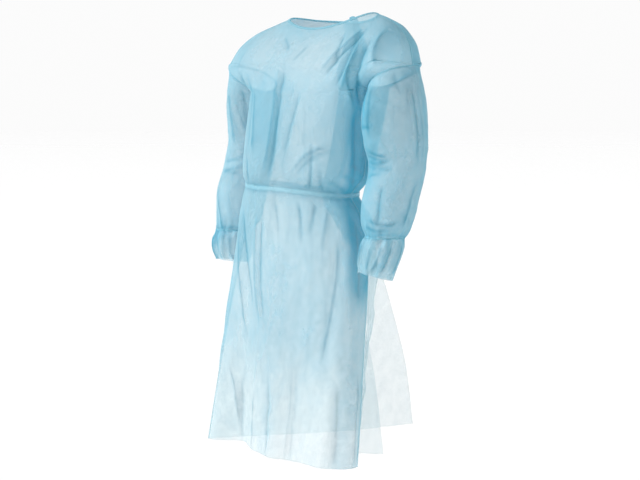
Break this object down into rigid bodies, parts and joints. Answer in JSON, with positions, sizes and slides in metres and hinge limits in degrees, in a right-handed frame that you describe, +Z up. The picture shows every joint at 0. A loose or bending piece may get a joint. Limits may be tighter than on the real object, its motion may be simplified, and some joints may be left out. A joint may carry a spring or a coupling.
{
  "type": "isolation gown",
  "caption": "Light-blue nonwoven isolation gown in its worn, hollow form, with long sleeves, gathered cuffs, a narrow belt and an open back that is tied at neck and waist.",
  "frame": {"origin": "midway between the two neck points, at the height where the gown lies on the wearer's shoulders", "axes": "+Z up along the wearer; the wearer faces -Y; +X is towards the wearer's left"},
  "size_m": [0.6742, 0.4269, 1.1347],
  "materials": {
    "gown_nonwoven": "thin spunbonded polypropylene, translucent, soft sheen, fine embossed points",
    "cuff_nonwoven": "the same nonwoven, gathered by an elastic thread",
    "belt_nonwoven": "the same nonwoven, folded and stitched flat"
  },
  "bodies": {
    "root": {"front_panel": "gown_nonwoven", "back_panel_left": "gown_nonwoven", "back_panel_right": "gown_nonwoven", "sleeve_left": "gown_nonwoven", "sleeve_right": "gown_nonwoven", "cuff_left": "cuff_nonwoven", "cuff_right": "cuff_nonwoven", "neck_binding": "belt_nonwoven", "waist_belt": "belt_nonwoven", "belt_knot": "belt_nonwoven", "belt_end_a": "belt_nonwoven", "belt_end_b": "belt_nonwoven", "neck_knot": "belt_nonwoven", "neck_end_a": "belt_nonwoven", "neck_end_b": "belt_nonwoven"}
  },
  "joints": []
}
